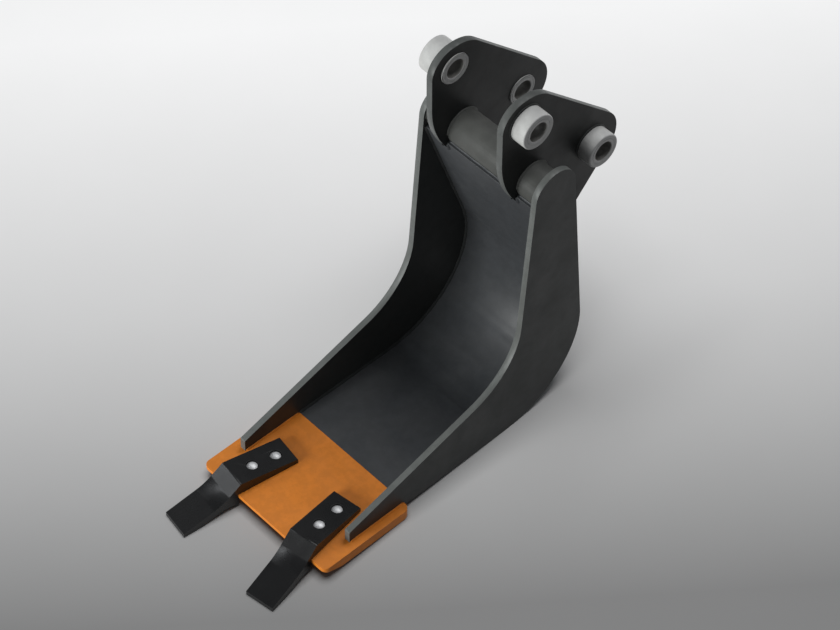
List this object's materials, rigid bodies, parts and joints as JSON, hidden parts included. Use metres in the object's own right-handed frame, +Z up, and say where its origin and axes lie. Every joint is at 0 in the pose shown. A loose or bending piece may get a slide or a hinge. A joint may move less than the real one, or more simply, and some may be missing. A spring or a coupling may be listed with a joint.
{
  "type": "trenching bucket",
  "caption": "Narrow trenching bucket for a backhoe loader or mini excavator, with a rolled shell, bolt-on teeth, and twin pin ears with bushed collars",
  "frame": {"origin": "centre of the stick pin bore, midway across the bucket", "axes": "+X along the stick pin to the bucket's right seen from behind it, +Y back from the teeth towards the heel, +Z up with the bucket standing on its tooth tips and its back"},
  "size_m": [0.382, 1.0603, 0.8882],
  "materials": {
    "bucket_paint": "satin charcoal paint on plate steel",
    "lip_paint": "satin orange paint",
    "boss_steel": "light grey painted, turned steel",
    "bush_steel": "ground bore",
    "tooth_black": "black coated forging",
    "zinc_fastener": "bright zinc"
  },
  "bodies": {
    "root": {"bucket_shell": "bucket_paint", "side_plate_left": "bucket_paint", "side_plate_right": "bucket_paint", "cross_tube": "bucket_paint", "ear_left": "bucket_paint", "ear_right": "bucket_paint", "stick_boss_left": "boss_steel", "stick_boss_right": "boss_steel", "link_boss_left": "boss_steel", "link_boss_right": "boss_steel", "stick_bush_left": "bush_steel", "stick_bush_right": "bush_steel", "link_bush_left": "bush_steel", "link_bush_right": "bush_steel", "lip_plate": "lip_paint", "tooth_left": "tooth_black", "tooth_right": "tooth_black", "tooth_bolts_rear": "zinc_fastener", "tooth_bolts_front": "zinc_fastener", "tooth_washers": "zinc_fastener", "tooth_nuts": "zinc_fastener"}
  },
  "joints": []
}
